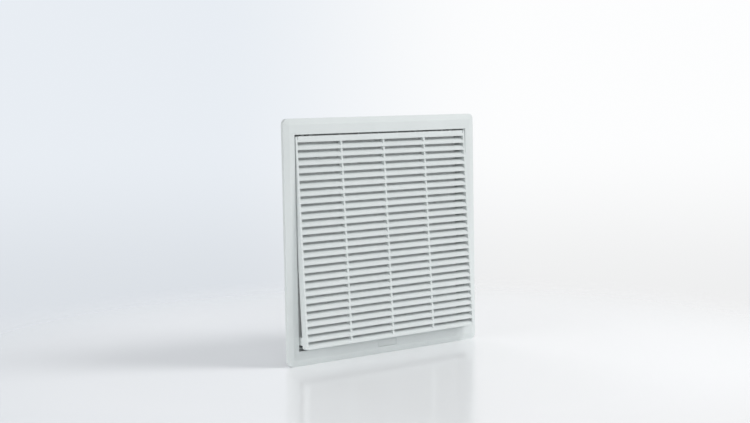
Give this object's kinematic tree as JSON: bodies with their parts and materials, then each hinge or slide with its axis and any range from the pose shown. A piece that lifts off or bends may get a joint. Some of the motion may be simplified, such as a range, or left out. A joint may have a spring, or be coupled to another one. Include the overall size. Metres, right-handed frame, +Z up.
{
  "type": "enclosure exhaust filter",
  "caption": "Square louvred exhaust filter for a cabinet wall: bevelled frame and tub, grille hinged at its top edge, fleece mat on a rear grid and sprung pawls that snap behind the panel.",
  "frame": {"origin": "centre of the flange's seat, in the plane that lies on the panel", "axes": "+Y into the cabinet, -Y out of it towards the room, +Z up, +X to the right seen from the room"},
  "size_m": [0.32, 0.0465, 0.32],
  "materials": {
    "housing": "fine satin, light grey",
    "fleece": "bonded fibre",
    "foam": "closed-cell foam",
    "spring_steel": "rolled stainless strip and wire"
  },
  "bodies": {
    "frame": {"front_frame": "housing", "rear_grid": "housing", "filter_mat": "fleece", "flange_gasket": "foam", "hinge_pin_left": "spring_steel", "hinge_pin_right": "spring_steel", "grille_catch_left": "spring_steel", "grille_catch_right": "spring_steel", "pawl_pin_upper_left": "spring_steel", "pawl_pin_upper_right": "spring_steel", "pawl_pin_lower_left": "spring_steel", "pawl_pin_lower_right": "spring_steel", "pawl_spring_upper_left": "spring_steel", "pawl_spring_upper_right": "spring_steel", "pawl_spring_lower_left": "spring_steel", "pawl_spring_lower_right": "spring_steel"},
    "grille": {"louvre_grille": "housing"},
    "pawl_upper_left": {"pawl_upper_left": "housing"},
    "pawl_upper_right": {"pawl_upper_right": "housing"},
    "pawl_lower_left": {"pawl_lower_left": "housing"},
    "pawl_lower_right": {"pawl_lower_right": "housing"}
  },
  "joints": [
    {"name": "grille_hinge", "type": "hinge", "parent": "frame", "child": "grille", "pos_m": [0, -0.0022, 0.132], "axis": [-1, 0, 0], "range_deg": [-3.4, 81.6], "deforming": ["grille_catch_left", "grille_catch_right"]},
    {"name": "pawl_upper_left_pivot", "type": "hinge", "parent": "frame", "child": "pawl_upper_left", "pos_m": [-0.08, 0.0164, 0.1426], "axis": [1, 0, 0], "range_deg": [0, 12.5], "stiffness_Nm_per_rad": 0.2, "springref_deg": -5.73, "deforming": ["pawl_spring_upper_left"]},
    {"name": "pawl_upper_right_pivot", "type": "hinge", "parent": "frame", "child": "pawl_upper_right", "pos_m": [0.08, 0.0164, 0.1426], "axis": [1, 0, 0], "range_deg": [0, 12.5], "stiffness_Nm_per_rad": 0.2, "springref_deg": -5.73, "deforming": ["pawl_spring_upper_right"]},
    {"name": "pawl_lower_left_pivot", "type": "hinge", "parent": "frame", "child": "pawl_lower_left", "pos_m": [-0.08, 0.0164, -0.1426], "axis": [-1, 0, 0], "range_deg": [0, 12.5], "stiffness_Nm_per_rad": 0.2, "springref_deg": -5.73, "deforming": ["pawl_spring_lower_left"]},
    {"name": "pawl_lower_right_pivot", "type": "hinge", "parent": "frame", "child": "pawl_lower_right", "pos_m": [0.08, 0.0164, -0.1426], "axis": [-1, 0, 0], "range_deg": [0, 12.5], "stiffness_Nm_per_rad": 0.2, "springref_deg": -5.73, "deforming": ["pawl_spring_lower_right"]}
  ]
}
